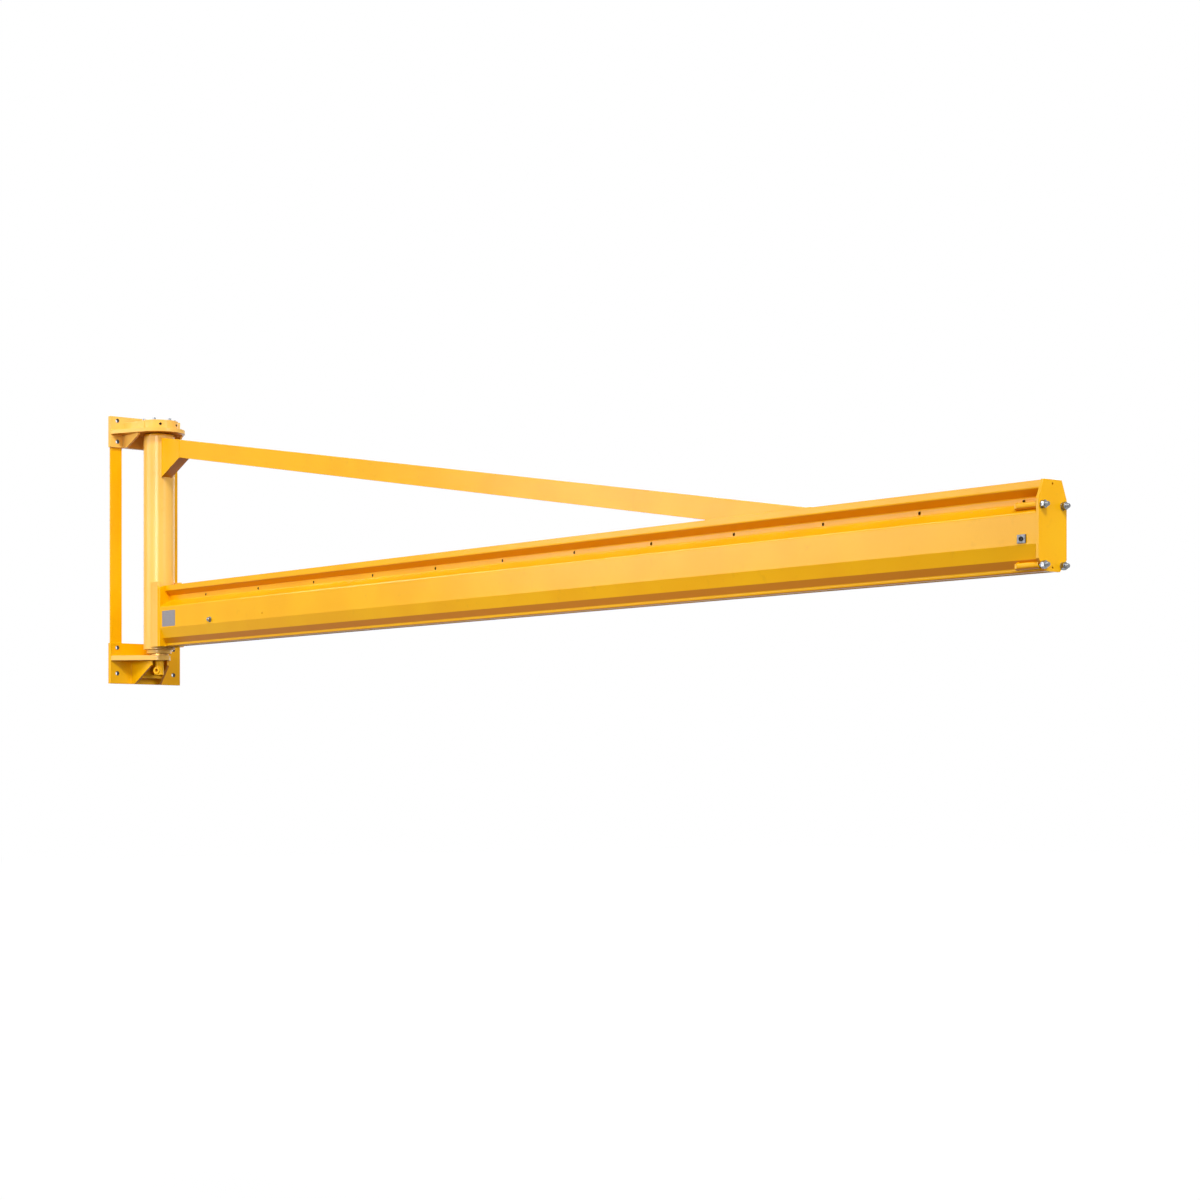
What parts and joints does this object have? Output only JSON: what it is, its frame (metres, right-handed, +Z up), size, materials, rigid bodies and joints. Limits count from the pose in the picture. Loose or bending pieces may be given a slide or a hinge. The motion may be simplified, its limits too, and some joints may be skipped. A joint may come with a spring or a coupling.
{
  "type": "wall-mounted jib crane",
  "caption": "Wall-mounted jib crane: a tubular column slews between two wall brackets and carries an enclosed track beam held by a sloping tie bar.",
  "frame": {"origin": "centre of the lower wall plate's back face, on the plane of the wall", "axes": "+X out of the wall and along the jib at rest, +Z up, +Y to the left of a person looking out of the wall"},
  "size_m": [6.22, 0.41, 1.382],
  "materials": {
    "paint": "amber yellow enamel, satin",
    "steel": "zinc-plated steel",
    "bronze": "plain bearing bronze"
  },
  "bodies": {
    "bracket": {"lower_wall_plate": "paint", "upper_wall_plate": "paint", "left_wall_bar": "paint", "right_wall_bar": "paint", "lower_shelf": "paint", "lower_left_gusset": "paint", "lower_right_gusset": "paint", "lower_stiffener": "paint", "pin_boss": "paint", "upper_shelf": "paint", "upper_left_gusset": "paint", "upper_right_gusset": "paint", "upper_left_rib": "paint", "upper_right_rib": "paint", "bearing_ring": "paint", "bearing_bush": "bronze", "ring_cover": "paint", "pivot_pin": "steel", "thrust_washer": "bronze"},
    "jib": {"column_tube": "paint", "column_cap": "paint", "column_foot": "paint", "left_root_cheek": "paint", "right_root_cheek": "paint", "root_plate": "paint", "track_beam": "paint", "end_plate": "paint", "upper_left_sleeve": "paint", "upper_right_sleeve": "paint", "lower_left_sleeve": "paint", "lower_right_sleeve": "paint", "left_tie_cheek": "paint", "right_tie_cheek": "paint", "tie_stiffener": "paint", "tie_bar": "paint", "root_stop_bolt": "steel", "end_stop_bolt": "steel"}
  },
  "joints": [
    {"name": "jib_slew", "type": "hinge", "parent": "bracket", "child": "jib", "pos_m": [0.165, 0, 0], "axis": [0, 0, 1], "range_deg": [-90, 90]}
  ]
}
